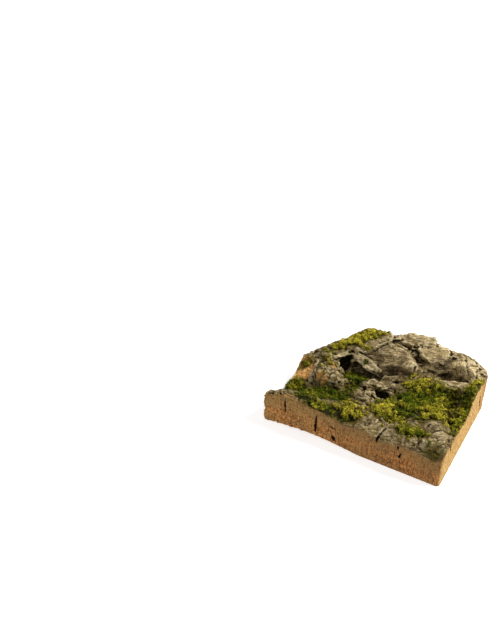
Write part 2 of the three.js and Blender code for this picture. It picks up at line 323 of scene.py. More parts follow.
# Raised rims of thin layers, in the same form
RIMS = {
    "layer_edge": (1.0, [
        (62, 105.5, 40.5), (69, 111.5, 44.8), (75.5, 122, 46.8), (82, 135.5, 46), (88, 142, 47.5),
    ]),
    "flake_lip": (0.9, [(52, 103, 35.5), (64.5, 96, 34.2), (77, 91, 32.2), (86, 89.5, 31)]),
    "ridge_left": (1.5, [(84, 85.5, 27.5), (95, 87.5, 29.5), (109, 90.5, 31), (119, 98, 32)]),
    "ridge_right": (1.4, [
        (138, 111, 31), (146, 109, 34.5), (154, 106.5, 36.5), (162, 105.5, 37.5), (170, 104, 39.5),
    ]),
}
# Slits in the sawn faces: from and to, as (along the face, height), and half width
FRONT_SLITS = [
    ((23.9, 36), (24.9, 19), 1.1),
    ((59.8, 31), (59.4, 10), 1.2),
    ((78.7, 13), (79.7, 7.5), 2.2),
    ((73.9, 23.7), (82.1, 22.7), 0.8),
    ((124.6, 34), (123.8, 26.5), 1.3),
    ((145.2, 32), (146, 27.5), 0.8),
    ((149.1, 24.3), (147.9, 16.8), 1.0),
]
RIGHT_SLITS = [
    ((17.2, 40), (22, 28.5), 1.0),
    ((110, 33), (118, 12), 1.4),
    ((130, 15.5), (135, 6), 1.2),
]
SLIT_DEPTH = 5.0
# How far around a piece the grid is changed, and how softly each kind blends into the bark (mm)
EGG_REACH = 6
PLATE_REACH = 7
ROPE_REACH = 5
HOLLOW_SOFT = 2.0
PLATE_SOFT = 1.6
KNOB_SOFT = 3.0
RIM_SOFT = 1.5
GROOVE_SOFT = 0.8
PLATE_RAGGED = 2.2


def plate_distance(away, half, turn, pitch, roll, ragged):
    """A thin oval plate with a ragged rim; ragged is added to its outline in mm."""
    u, v, w = turned(away, turn, pitch, roll)
    a, b, c = half
    outside = (np.sqrt((u / a) ** 2 + (v / b) ** 2) - 1) * min(a, b) + c * 0.6 + ragged
    height = np.abs(w) - c * 0.4
    corner = np.sqrt(np.maximum(outside, 0) ** 2 + np.maximum(height, 0) ** 2)
    return corner + np.minimum(np.maximum(outside, height), 0) - c * 0.6


def egg_distance(away, half, turn=0.0):
    u, v, w = turned(away, turn)
    a, b, c = half
    k0 = np.sqrt((u / a) ** 2 + (v / b) ** 2 + (w / c) ** 2) + 1e-6
    k1 = np.sqrt((u / a ** 2) ** 2 + (v / b ** 2) ** 2 + (w / c ** 2) ** 2) + 1e-6
    return k0 * (k0 - 1) / k1


def line_distance(away, corners, radius):
    """Distance to a rope that runs through the corners."""
    nearest = np.full(away[0].shape, FAR, np.float32)
    for start, end in zip(corners[:-1], corners[1:]):
        along = np.subtract(end, start)
        off = [part - value for part, value in zip(away, start)]
        share = np.clip(sum(a * b for a, b in zip(off, along)) / (along @ along), 0, 1)
        nearest = np.minimum(nearest, np.sqrt(sum((a - share * b) ** 2 for a, b in zip(off, along))))
    return nearest - radius


def rope(field, radius, corners):
    """The part of the grid near a rope, and its distances there."""
    middle = np.mean(corners, axis=0)
    reach = np.abs(np.subtract(corners, middle)).max() + radius + ROPE_REACH
    slices, away = field.around(middle, reach)
    return slices, line_distance(away, np.subtract(corners, middle), radius)


def shape_top(field):
    for at, half, turn in HOLLOWS.values():
        slices, away = field.around(at, max(half) + EGG_REACH)
        field.cut(slices, egg_distance(away, half, turn), HOLLOW_SOFT)
    for at, half, turn, pitch, roll in PLATES.values():
        slices, away = field.around(at, max(half) + PLATE_REACH)
        places = np.stack([part.ravel() for part in away], 1) + np.array(at, np.float32)
        ragged = PLATE_RAGGED * fractal(places, 7, 8, 2).reshape(away[0].shape)
        field.join(slices, plate_distance(away, half, turn, pitch, roll, ragged), PLATE_SOFT)
    for at, half in KNOBS.values():
        slices, away = field.around(at, max(half) + EGG_REACH)
        field.join(slices, egg_distance(away, half), KNOB_SOFT)
    for radius, corners in RIMS.values():
        field.join(*rope(field, radius, corners), RIM_SOFT)
    for radius, corners in GROOVES.values():
        field.cut(*rope(field, radius, corners), GROOVE_SOFT)


# Where the bark is smooth, weathered plate rather than crumbly crust: middle, half sizes, turn, share
CALM = {
    "dome": ((96, 107), (24, 19), 10, 1.0),
    "pointed_back_plate": ((104, 150), (22, 9), 10, 0.75),
    "second_back_plate": ((129, 138), (19, 14), 12, 0.8),
    "layer_behind_dome": ((70, 125), (22, 12), 58, 0.6),
    "curled_flake": ((69, 97), (16, 9), -18, 0.9),
    "corner_lump": ((172, 33), (17, 15), 35, 0.85),
    "front_band": ((142, 8), (56, 11), 0, 0.5),
    "ridge": ((135, 97), (62, 7), 26, 0.5),
    "ridge_right": ((158, 107), (20, 6), 4, 0.8),
    "far_right": ((164, 128), (19, 14), 0, 0.85),
    "under_second_plate": ((134, 122), (20, 8), 10, 0.7),
    "left_slope": ((4, 68), (9, 24), 0, 0.8),
}


def share_in(points, middle, half, turn):
    """1 inside an ellipse seen from above, 0 outside it."""
    u, v, _ = turned((points[:, 0] - middle[0], points[:, 1] - middle[1], 0.0), turn)
    return 1 - smoothstep(0.75, 1.15, np.sqrt((u / half[0]) ** 2 + (v / half[1]) ** 2))


def sum_of(table, points):
    """The shares of all ovals of a table, added up."""
    return sum(share * share_in(points, *where) for *where, share in table.values())


def calm_share(points):
    return np.max([share * share_in(points, *where) for *where, share in CALM.values()], axis=0)


def roughen(field):
    """Chunks, swellings, sharp ridges, thin layers, crumbs, cracks and pits over the grown surface."""
    band = np.abs(field.f) < BAND
    points = field.points(band)
    calm = calm_share(points)
    rough = 1 - 0.92 * calm
    warp = fractal(points, 15, 1, 2)
    bent = points + warp[:, None] * (5, 5, 3)
    first, second = cells(bent, (10, 13, 9), 2)
    some = smoothstep(-0.2, 0.3, noise(points, 16, 12))
    chunks = 0.6 * (0.35 - first ** 2) - 1.2 * some * (1 - smoothstep(0.0, 0.09, second - first))
    swell = 1.6 * fractal(points, 12, 4, 2)
    sharp = 0.5 - 1.8 * np.abs(fractal(points, 8, 7, 3))
    crumbs = 0.45 * fractal(points, 2.2, 3, 2)
    pits = -1.2 * smoothstep(0.55, 0.85, noise(points, 5.0, 5))
    layer = (points[:, 2] + 3 * warp + 0.1 * points[:, 1]) / 3.0
    steps = 0.8 * (layer - np.floor(layer) - 0.5)
    strata = 0.4 * fractal(bent, (14, 10, 2.2), 9, 2)
    lines = -0.4 * (1 - smoothstep(0.0, 0.12, np.abs(noise(bent, (20, 8, 2.6), 10))))
    field.f[band] -= rough * (chunks + sharp + crumbs + pits + steps) + (1 - 0.75 * calm) * swell
    field.f[band] -= strata + calm * lines


def wall_noise(first, second, size, seed, strength):
    a, b = np.meshgrid(first, second, indexing="ij")
    points = np.stack([a.ravel(), b.ravel(), np.zeros(a.size)], 1)
    return (strength * fractal(points, size, seed)).reshape(a.shape)


def slit_distance(along, heights, slits):
    """Distance on a sawn face to its slits, which taper towards both ends."""
    a, z = np.meshgrid(along, heights, indexing="ij")
    wiggle = wall_noise(along, heights, 5.0, 17, 0.9)
    nearest = np.full(a.shape, FAR)
    for (a0, z0), (a1, z1), half in slits:
        share = ((a - a0) * (a1 - a0) + (z - z0) * (z1 - z0)) / ((a1 - a0) ** 2 + (z1 - z0) ** 2)
        share = np.clip(share, 0, 1)
        off = np.hypot(a - a0 - share * (a1 - a0) + wiggle, z - z0 - share * (z1 - z0))
        nearest = np.minimum(nearest, off - half * (1 - 0.7 * np.abs(2 * share - 1) ** 2))
    return nearest


def rounded(first, second, radius):
    """Two walls met in a rounded corner."""
    a, b = first + radius, second + radius
    return np.minimum(np.maximum(a, b), 0) + np.hypot(np.maximum(a, 0), np.maximum(b, 0)) - radius


def shape_walls(field):
    """Sawn front, right and left walls, the broken back wall and the arched underside."""
    x, y, z = field.x, field.y, field.z
    worn = 0.25 + 0.6 * (1 - smoothstep(40, 90, x))[:, None]
    front = -y[None, :, None] + (worn * wall_noise(x, z, (3.5, 5.0, 1), 11, 1.0))[:, None, :]
    slits = slit_distance(x, z, FRONT_SLITS)[:, None, :]
    front = np.maximum(front, -np.maximum(slits, (y - SLIT_DEPTH)[None, :, None]))
    right = (x - LENGTH)[:, None, None] + wall_noise(y, z, (5.0, 2.5, 1), 12, 0.2)[None]
    slits = slit_distance(y, z, RIGHT_SLITS)[None]
    right = np.maximum(right, -np.maximum(slits, (LENGTH - SLIT_DEPTH - x)[:, None, None]))
    left = -x[:, None, None] + wall_noise(y, z, (6.0, 3.0, 1), 13, 0.9)[None]
    lean = np.sqrt(1 + np.gradient(field.back, VOXEL) ** 2)[:, None, None]
    back = (y[None, :, None] - field.back[:, None, None]) / lean
    back = back + wall_noise(x, z, (7.0, 4.0, 1), 14, 1.6)[:, None, :]
    under = field.under[:, None, None] - z[None, None, :]
    under = under + np.abs(wall_noise(x, y, (3.0, 11.0, 1), 15, 0.5))[..., None]
    for wall in (rounded(front, right, CORNER_ROUND), rounded(back, right, BACK_ROUND), left, under):
        np.maximum(field.f, wall, out=field.f)


def mesh_from(name, points, faces):
    """A mesh from arrays of points in metres and of faces that all have the same number of corners."""
    count, corners = faces.shape
    mesh = bpy.data.meshes.new(name)
    mesh.vertices.add(len(points))
    mesh.vertices.foreach_set("co", np.ascontiguousarray(points, np.float32).ravel())
    mesh.loops.add(count * corners)
    mesh.loops.foreach_set("vertex_index", np.ascontiguousarray(faces, np.int32).ravel())
    mesh.polygons.add(count)
    mesh.polygons.foreach_set("loop_start", np.arange(0, count * corners, corners, dtype=np.int32))
    mesh.polygons.foreach_set("use_smooth", np.ones(count, bool))
    mesh.update(calc_edges=True)
    return mesh


def largest_part(count, faces):
    """Which points belong to the largest connected part of a mesh."""
    a, b = faces.ravel(), np.roll(faces, 1, axis=1).ravel()
    label = np.arange(count)
    while True:
        before = label.copy()
        low = np.minimum(label[a], label[b])
        np.minimum.at(label, a, low)
        np.minimum.at(label, b, low)
        label = label[label]
        if np.array_equal(label, before):
            return label == np.bincount(label).argmax()


def mesh_of_field(field):
    grid = openvdb.FloatGrid(BAND)
    grid.copyFromArray(np.clip(field.f, -BAND, BAND).astype(np.float32))
    points, quads = grid.convertToQuads(isovalue=0.0)
    keep = largest_part(len(points), quads)
    quads = (np.cumsum(keep) - 1)[quads[keep[quads[:, 0]]]]
    return mesh_from("cork_bark", to_metres(points[keep] * VOXEL + field.origin), quads)


def vertex_places(mesh):
    places = np.empty(len(mesh.vertices) * 3, np.float32)
    mesh.vertices.foreach_get("co", places)
    normals = np.empty(len(mesh.vertices) * 3, np.float32)
    mesh.vertices.foreach_get("normal", normals)
    return (places.reshape(-1, 3) - np.array(BARK_LOW)) / MM, normals.reshape(-1, 3)


def add_layer(mesh, name, values):
    layer = mesh.attributes.new(name, "FLOAT", "POINT")
    layer.data.foreach_set("value", np.ascontiguousarray(values, np.float32))


def spread(grid, reach):
    """Box blur of a 3-D grid over the given reach in cells."""
    for axis in (0, 1, 2):
        pad = [(reach + 1, reach) if a == axis else (0, 0) for a in (0, 1, 2)]
        total = np.cumsum(np.pad(grid, pad, mode="edge"), axis=axis, dtype=np.float64)
        ahead = np.take(total, range(2 * reach + 1, total.shape[axis]), axis=axis)
        behind = np.take(total, range(0, total.shape[axis] - 2 * reach - 1), axis=axis)
        grid = ((ahead - behind) / (2 * reach + 1)).astype(np.float32)
    return grid


def grid_values(grid, origin, places):
    """Values of a grid of two or three axes at places in mm, worked out between its points."""
    place = np.clip((places - origin) / VOXEL, 0, np.array(grid.shape) - 1.001)
    cell = place.astype(int)
    inside = place - cell
    total = np.zeros(len(places))
    for corner in np.ndindex((2,) * grid.ndim):
        weight = np.prod(np.where(corner, inside, 1 - inside), axis=1)
        total += weight * grid[tuple((cell + corner).T)]
    return total


def plan_values(field, grid, points):
    """Values of a grid over X and Y at the given points."""
    return grid_values(grid, field.origin[:2], points[:, :2])


def curve(field, points, reach):
    """How far the surface bends away (above 0, edges) or inwards (below 0, hollows) over a reach in mm."""
    near = np.clip(field.f, -BAND, BAND)
    bend = spread(spread(near, round(reach / VOXEL)), round(reach / VOXEL)) - near
    return grid_values(bend, field.origin, points)


# Rays that look for the sky: how many, how far off the surface they start, and where they look (mm)
SKY_RAYS = 40
SKY_LIFT = 1.5
SKY_STEPS = (0, 1.5, 3, 5, 8, 12, 17, 23)


def sky_share(field, points, normals):
    """How much of the sky each point sees: 1 in the open, 0 deep in a hollow."""
    up = (np.arange(SKY_RAYS) + 0.5) / SKY_RAYS
    turn = np.arange(SKY_RAYS) * GOLDEN_TURN
    flat = np.sqrt(1 - up ** 2)
    rays = np.column_stack([flat * np.cos(turn), flat * np.sin(turn), up])
    start = points + SKY_LIFT * normals
    limit = np.array(field.f.shape) - 1
    seen = np.zeros(len(points))
    for ray in rays:
        clear = np.ones(len(points), bool)
        for far in SKY_STEPS:
            cell = np.rint((start + far * ray - field.origin) / VOXEL).astype(int)
            clear &= field.f[tuple(np.clip(cell, 0, limit).T)] > 0
        seen += clear * ray[2]
    return seen / rays[:, 2].sum()


# Fresh orange cork where the bark has broken off: middle and radius
EXPOSED = [
    ((2, 54), 9), ((5, 65), 12), ((6, 76), 12), ((14, 69), 9),
    ((15, 61), 7), ((34, 58), 4), ((42, 53), 4.5), ((39.5, 79), 4),
]


def exposed_share(points):
    shares = [np.exp(-((points[:, :2] - at) ** 2).sum(1) / radius ** 2) for at, radius in EXPOSED]
    return np.max(shares, axis=0)


def paint_bark(mesh, field):
    """Masks for the bark's material, from 0 to 1 where not said otherwise."""
    points, normals = vertex_places(mesh)
    x, y, z = points.T
    deep = plan_values(field, field.top, points) - z
    inside = np.minimum(y, LENGTH - x)
    back_line = np.interp(x, field.x, field.back)
    rounded_end = x > LENGTH - BACK_ROUND

    under_rim = deep + 1.6 * fractal(points, 6, 18, 3) + 2.5 * (1 - smoothstep(60, 100, x))
    front = smoothstep(0.5, 0.8, -normals[:, 1]) * (y < 2) * smoothstep(0.8, 2.4, under_rim)
    left = smoothstep(0.5, 0.8, -normals[:, 0]) * (x < 3)
    corner = ((x > LENGTH - 4.5) & (y < 4.5) & (normals[:, 2] < 0.5)).astype(float)
    outward = np.where(rounded_end, np.hypot(normals[:, 0], normals[:, 1]), normals[:, 1])
    back = smoothstep(0.45, 0.8, outward) * (y > back_line - np.where(rounded_end, BACK_ROUND, 4))
    right = smoothstep(0.55, 0.85, normals[:, 0]) * (x > LENGTH - 1.6) * (1 - back)
    pale = np.clip(right + 0.6 * corner * (normals[:, 0] > 0.6), 0, 1)
    below = smoothstep(0.5, 0.8, -normals[:, 2]) * (z < 9)
    # Walls of slits in the sawn faces, which are painted in shade
    slit = smoothstep(0.8, 2.0, inside) * (inside < SLIT_DEPTH + 1) * (deep > 4) * (below < 0.5)
    slit = slit * (x > 4) * (np.hypot(x - LENGTH, y) > 8) * (y < back_line - BACK_ROUND)
    rim = (1 - smoothstep(1.5, 5.0, y + 2 * fractal(points, 5, 19, 2))) * (1 - smoothstep(28, 50, x))
    edge = curve(field, points, 1.2)

    layers = {
        "sawn": np.clip(front + right + left + corner + rim, 0, 1),
        "right": pale * (1 - 0.6 * smoothstep(112, 122, y)),
        "back": back,
        "below": below,
        "slit": slit,
        # In mm, above 0 on edges and below 0 in hollows; it paints highlights on edges and shade in creases
        "edge": np.where(edge > 0, edge * smoothstep(1.0, 5.0, inside), edge),
        # How much sky a point sees, which paints shade into hollows
        "sky": sky_share(field, points, normals),
        # From -1, darker, to 1, paler; partly the bark's own colour and partly painted light and shade, see
        # TONES
        "tone": np.clip(sum_of(TONES, points), -1, 1),
        "exposed": exposed_share(points),
        "calm": calm_share(points),
        "depth": np.clip(deep / 40, 0, 1),
        "left_end": 1 - smoothstep(15, 150, x),
    }
    for name, values in layers.items():
        add_layer(mesh, name, values)


# Materials

def linear(*screen):
    """A colour given as 0-255 screen values."""
    shares = [value / 255 for value in screen]
    return (*(v / 12.92 if v <= 0.04045 else ((v + 0.055) / 1.055) ** 2.4 for v in shares), 1.0)


class Nodes:
    """Short names for building a node material."""

    def __init__(self, name):
        self.material = bpy.data.materials.new(name)
        self.material.use_nodes = True
        self.tree = self.material.node_tree
        self.shader = self.tree.nodes["Principled BSDF"]
        self.place = self.tree.nodes.new("ShaderNodeTexCoord").outputs["Object"]

    def link(self, value, socket):
        if hasattr(value, "is_output"):
            self.tree.links.new(value, socket)
        else:
            socket.default_value = value

    def layer(self, name):
        node = self.tree.nodes.new("ShaderNodeAttribute")
        node.attribute_name = name
        return node.outputs["Fac"]

    def noise(self, size, detail=3.0, rough=0.55, stretch=(1, 1, 1), turn=0.0):
        """Noise of about 0.3 to 0.7 with features of a size in mm, stretched along axes turned about Z."""
        mapping = self.tree.nodes.new("ShaderNodeMapping")
        mapping.vector_type = "TEXTURE"
        mapping.inputs["Scale"].default_value = [size * MM * s for s in stretch]
        mapping.inputs["Rotation"].default_value = (0, 0, math.radians(turn))
        self.link(self.place, mapping.inputs["Vector"])
        node = self.tree.nodes.new("ShaderNodeTexNoise")
        node.inputs["Scale"].default_value = 1.0
        node.inputs["Detail"].default_value = detail
        node.inputs["Roughness"].default_value = rough
        self.link(mapping.outputs["Vector"], node.inputs["Vector"])
        return node.outputs["Fac"]

    def ramp(self, value, low, high):
        node = self.tree.nodes.new("ShaderNodeMapRange")
        node.interpolation_type = "SMOOTHSTEP"
        self.link(value, node.inputs["Value"])
        node.inputs["From Min"].default_value = low
        node.inputs["From Max"].default_value = high
        return node.outputs["Result"]

    def math(self, kind, a, b):
        node = self.tree.nodes.new("ShaderNodeMath")
        node.operation = kind
        self.link(a, node.inputs[0])
        self.link(b, node.inputs[1])
        return node.outputs[0]

    def mix(self, share, a, b, kind="MIX"):
        node = self.tree.nodes.new("ShaderNodeMix")
        node.data_type = "RGBA"
        node.blend_type = kind
        self.link(share, node.inputs["Factor"])
        self.link(a, node.inputs["A"])
        self.link(b, node.inputs["B"])
        return node.outputs["Result"]

    def paint(self, under, mask, strength, colour):
        """A colour over another one where a mask is 1, at the given strength."""
        return self.mix(self.math("MULTIPLY", mask, strength), under, colour)

    def shade(self, colour, mask, low, high):
        """A colour multiplied by one factor where a mask is 0 and by another where it is 1."""
        return self.mix(1.0, colour, self.mix(mask, (*low, 1), (*high, 1)), "MULTIPLY")

    def bump(self, height, distance):
        node = self.tree.nodes.new("ShaderNodeBump")
        node.inputs["Strength"].default_value = 1.0
        node.inputs["Distance"].default_value = distance * MM
        self.link(height, node.inputs["Height"])
        self.link(node.outputs["Normal"], self.shader.inputs["Normal"])

    def finish(self, colour, roughness, specular):
        self.link(colour, self.shader.inputs["Base Color"])
        self.shader.inputs["Roughness"].default_value = roughness
        self.shader.inputs["Specular IOR Level"].default_value = specular
        return self.material


# Where the bark is paler (above 0) or darker (below 0), seen from above: middle, half sizes, turn, share.
# Most are the bark's own colour; those marked are painted light and shade
TONES = {
    # Painted light and shade: the dome's face and left flank darkened where they turn from the light, its
    # top and right rim paled where light falls; dome_knot is a real paler knot
    "dome_face": ((101, 94), (22, 9), 22, -1.1),
    "dome_flank": ((78, 102), (9, 8), -30, -0.6),
    "dome_top": ((98, 116), (14, 7), 10, 0.3),
    "dome_knot": ((95, 117), (6, 5), 10, 0.9),
    "dome_rim": ((112, 110), (5, 8), -20, 0.7),
    "mound": ((45, 68), (22, 15), -10, 0.1),
    # Painted shade in the crevice beside the second plate
    "second_plate_crevice": ((138, 131), (3.5, 9), 30, -0.8),
    "back_plates": ((115, 146), (42, 13), 6, 0.75),
    "second_plate": ((133, 135), (14, 9), 8, 0.6),
    # Painted shade under the plates
    "under_plates": ((130, 120), (22, 7), 10, -0.2),
    "far_right": ((172, 130), (22, 18), 0, 1.0),
    "right_corner": ((186, 134), (9, 14), 0, -0.4),
    # Painted shade in the crevice between the right lumps and the second plate
    "far_right_crevice": ((149, 127), (6, 10), 20, -0.9),
    "flake": ((69, 98), (18, 7), -20, 0.9),
    "plateau": ((25, 86), (18, 13), 30, 1.3),
    "left_slope": ((8, 62), (12, 20), 0, 0.6),
    "slope_foot": ((20, 60), (9, 7), -30, 1.0),
    "corner_lump": ((169, 36), (13, 11), 20, -0.3),
    "centre_mound": ((88, 43), (12, 10), 0, -0.5),
    "ridge_right": ((158, 107), (22, 6), 5, 1.2),
    "corner": ((180, 20), (9, 9), 0, 0.3),
    "front_rim": ((40, 4), (44, 7), 0, -0.1),
    "front_band": ((135, 6), (28, 8), 0, 0.4),
}


def crust_colour(n, rough, seams, fibres):
    """Grown bark: gray-brown, orange where broken, green near moss; edges painted pale as painted
    highlight, and creases and hollows that see little sky painted dark as painted shade.
    """
    tone = n.math("ADD", n.math("MULTIPLY", n.layer("tone"), 0.5), 0.5)
    crust = n.mix(tone, linear(56, 44, 20), linear(188, 168, 126))
    crust = n.paint(crust, n.ramp(n.noise(8), 0.42, 0.66), 0.7, linear(90, 74, 36))
    crust = n.paint(crust, n.ramp(n.noise(11), 0.52, 0.66), 0.6, linear(152, 134, 112))
    crust = n.paint(crust, n.ramp(n.noise(4), 0.5, 0.7), 0.6, linear(172, 152, 108))
    crust = n.paint(crust, rough, 0.45, linear(108, 90, 42))
    crust = n.paint(crust, n.ramp(seams, 0.5, 0.66), 0.5, linear(58, 45, 22))
    crust = n.paint(crust, n.ramp(fibres, 0.46, 0.6), 0.75, linear(64, 49, 24))
    # Painted highlight on convex edges and painted shade in creases and small hollows
    edge = n.layer("edge")
    crust = n.paint(crust, n.ramp(edge, 0.1, 0.5), 0.5, linear(206, 190, 150))
    crust = n.paint(crust, n.ramp(edge, -0.06, -0.45), 0.95, linear(32, 25, 11))
    fresh = n.mix(n.ramp(n.noise(2.5), 0.4, 0.62), linear(192, 136, 70), linear(230, 184, 118))
    worn = n.math("ADD", n.layer("exposed"), n.math("MULTIPLY", n.noise(4), 0.5))
    crust = n.mix(n.ramp(worn, 0.6, 0.85), crust, fresh)
    film = n.math("ADD", n.layer("film"), n.math("MULTIPLY", n.noise(3), 0.7))
    crust = n.paint(crust, n.ramp(film, 0.38, 0.66), 0.7, linear(94, 82, 26))
    crust = n.mix(n.ramp(film, 0.75, 1.1), crust, linear(38, 36, 8))
    # Painted shade: bark that sees little sky, deep in hollows and under flakes, is darkened
    crust = n.paint(crust, n.ramp(n.layer("sky"), 0.6, 0.15), 0.88, linear(34, 29, 11))
    # The tone layer brightens or darkens the bark, partly its own colour and partly painted light and shade
    crust = n.shade(crust, tone, (0.66, 0.63, 0.56), (1.45, 1.45, 1.45))
    fleck = n.ramp(n.noise(1.1, detail=4, rough=0.75), 0.34, 0.66)
    return n.shade(crust, fleck, (0.5, 0.48, 0.44), (1.7, 1.7, 1.7))


def cork_colour(n, streaks):
    """Sawn front and left faces: warm cork in bands and sheets, with upright streaks and pores."""
    grain = n.ramp(n.noise(1.6, stretch=(0.8, 0.8, 2.2)), 0.38, 0.62)
    cork = n.mix(grain, linear(122, 70, 30), linear(224, 154, 84))
    bands = n.ramp(n.noise(6, stretch=(6, 6, 0.5)), 0.46, 0.6)
    cork = n.paint(cork, bands, 0.6, linear(126, 94, 54))
    sheets = n.ramp(n.noise(2.2, stretch=(8, 8, 0.7)), 0.5, 0.6)
    cork = n.paint(cork, sheets, 0.45, linear(176, 136, 82))
    patches = n.ramp(n.noise(16, stretch=(2, 2, 0.5)), 0.45, 0.62)
    cork = n.paint(cork, patches, 0.5, linear(184, 138, 84))
    cork = n.paint(cork, n.ramp(n.layer("depth"), 0.6, 0.1), 0.7, linear(140, 112, 66))
    cork = n.paint(cork, streaks, 0.55, linear(88, 62, 34))
    pores = n.ramp(n.noise(1.7), 0.56, 0.68)
    cork = n.mix(pores, cork, linear(84, 50, 24))
    return n.shade(cork, n.layer("left_end"), (0.92, 0.88, 0.84), (1.2, 1.24, 1.2))


def right_colour(n, speckle, streaks):
    """Sawn right face: paler cork."""
    pale = n.mix(n.ramp(speckle, 0.34, 0.66), linear(148, 108, 54), linear(220, 180, 108))
    return n.paint(pale, streaks, 0.5, linear(140, 98, 48))


def back_colour(n, speckle, seams):
    """Broken back face: brown, layered bark."""
    broken = n.mix(n.ramp(speckle, 0.32, 0.68), linear(92, 70, 42), linear(164, 124, 78))
    broken = n.paint(broken, n.ramp(seams, 0.45, 0.65), 0.6, linear(76, 56, 32))
    return n.paint(broken, n.ramp(n.noise(9), 0.45, 0.62), 0.5, linear(112, 96, 66))


def inner_colour(n):
    """Inner side: plain cork with fine lines along the grain, and pores."""
    lengthwise = n.noise(1.4, detail=6, rough=0.7, stretch=(1, 9, 1))
    inner = n.mix(n.ramp(lengthwise, 0.3, 0.7), linear(116, 84, 50), linear(166, 126, 80))
    return n.mix(n.ramp(n.noise(1.7), 0.6, 0.7), inner, linear(84, 56, 32))


def bark_material():
    n = Nodes("cork_bark")
    rough = n.math("SUBTRACT", 1.0, n.layer("calm"))
    seams = n.noise(1.3, detail=2, stretch=(9, 9, 1))
    fibres = n.noise(1.4, detail=3, rough=0.65, stretch=(8, 0.9, 1), turn=24)
    streaks = n.ramp(n.noise(1.1, detail=2, stretch=(0.8, 0.8, 9)), 0.5, 0.66)
    speckle = n.noise(2.4, detail=6, rough=0.7)
    sawn = n.mix(n.layer("right"), cork_colour(n, streaks), right_colour(n, speckle, streaks))
    colour = n.mix(n.layer("back"), crust_colour(n, rough, seams, fibres), back_colour(n, speckle, seams))
    colour = n.mix(n.layer("sawn"), colour, sawn)
    # Painted shade: the walls of slits in the sawn faces are painted dark
    colour = n.mix(n.layer("slit"), colour, linear(50, 34, 18))
    colour = n.mix(n.layer("below"), colour, inner_colour(n))
    strength = n.math("ADD", 0.4, n.math("MULTIPLY", rough, 0.6))
    crumbs = n.math("MULTIPLY", n.noise(1.0, detail=4, rough=0.7), strength)
    lines = n.math("ADD", n.math("MULTIPLY", seams, 0.8), n.math("MULTIPLY", fibres, -0.8))
    n.bump(n.math("ADD", crumbs, lines), distance=1.4)
    return n.finish(colour, roughness=0.92, specular=0.2)


def make_bark():
    field = Field()
    shape_top(field)
    roughen(field)
    shape_walls(field)
    mesh = mesh_of_field(field)
    bark = add_object("bark_slab", mesh)
    thin = bark.modifiers.new("thin", "DECIMATE")
    thin.ratio = min(1.0, BARK_TRIANGLES / (2 * len(mesh.polygons)))
    bpy.context.view_layer.update()
    final = bpy.data.meshes.new_from_object(bark.evaluated_get(bpy.context.evaluated_depsgraph_get()))
    bark.modifiers.clear()
    bark.data = final
    paint_bark(final, field)
    final.materials.append(bark_material())
    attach(bark, "root")
    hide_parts("cork_bark")
    return bark, field


# Moss: for each cushion, how yellow it is (0 deep green, 1 yellow-green), how tall its shoots stand in mm,
# how far its tufts scatter, in sizes of the cushion, and ovals beside it with loose tufts, as middle,
# half sizes and how rare the tufts are there
MOSS = {
    "moss_back_crest": (1.0, 3.6, 1.15, [((63, 107), (4, 8), 0.0), ((38, 108), (14, 7), 0.3)]),
    "moss_left_corner": (0.5, 2.4, 1.1, [((25, 86), (18, 14), 0.4), ((36, 70), (16, 13), 0.4)]),
    "moss_left_edge": (0.3, 4.0, 0.7, [((14, 42), (12, 10), 0.0)]),
    "moss_left_valley": (0.0, 4.0, 1.3, [((38, 14), (26, 7), 0.0), ((60, 30), (14, 10), 0.0)]),
    "moss_front_left": (0.3, 2.8, 1.3, [((50, 6), (18, 4), 0.1), ((78, 10), (20, 7), 0.0)]),
    "moss_front_middle": (0.95, 3.6, 1.5, [((82, 34), (16, 9), 0.35)]),
    "moss_front_centre": (0.85, 4.2, 1.5, [((138, 50), (10, 8), 0.25), ((112, 22), (14, 8), 0.35)]),
    "moss_front_right": (0.35, 3.2, 1.5, [((163, 14), (10, 6), 0.2), ((177, 6), (10, 4), 0.1)]),
    "moss_right_centre": (0.55, 3.8, 1.6, [((150, 44), (10, 10), 0.0), ((172, 36), (10, 12), 0.7)]),
    "moss_centre_field": (0.35, 5.0, 1.35, [((123, 104), (10, 9), 0.15), ((165, 66), (14, 9), -0.1)]),
    "moss_right_edge": (0.4, 4.0, 1.4, [((184, 110), (5, 14), -0.1)]),
    "moss_under_flake": (0.05, 3.0, 1.3, [((66, 80), (11, 8), -0.5), ((70, 64), (8, 12), -0.4)]),
}
# Where a green film covers the bark (above 0) or stays away (below 0): middle, half sizes, turn, share
FILMS = {
    "front_corner": ((179, 4), (11, 5), 0, 0.15),
    "front_left_rim": ((66, 7), (36, 7), 0, 0.3),
    "flake": ((68, 99), (18, 7), -20, -0.8),
}
# Where the moss is yellower (above 0) or deeper green (below 0): middle, half sizes, turn, share
TINTS = {
    "right_centre": ((164, 62), (20, 14), 20, 0.4),
    "field": ((137, 72), (18, 13), 30, -0.25),
    "ridge_slope": ((126, 98), (18, 13), 20, 0.5),
    "corner": ((177, 6), (12, 6), 0, -0.4),
    "dip": ((139, 44), (14, 9), 0, -0.9),
    "right_edge": ((186, 88), (8, 16), 0, -0.3),
    "right_edge_back": ((185, 110), (8, 12), 0, 0.4),
}
# Tufts and shoots, in mm: a stem sinks into the bark and stands a gap away from the bark's edges
TUFT_SPACING = 3.5
TUFT_SHOOTS = 5
TUFT_RADIUS = 1.4
LEAVES = 11
STEM_RADIUS = 0.3
STEM_SINK = 0.5
EDGE_GAP = 0.8
RIGHT_GAP = 1.2
# Bark whose normal rises less than this is too steep for a shoot
STEEPEST = 0.1
# How far out, in sizes of the cushion, its top is read, and how far the film spreads (mm)
LID_SHARE = 0.93
FILM_BLUR = 4.0
# Columns of a table of shoots
PLACE = slice(0, 3)
NORMAL = slice(3, 6)
OFFSET = slice(6, 8)
TUFT = 8
OUT = 9
RARE = 10


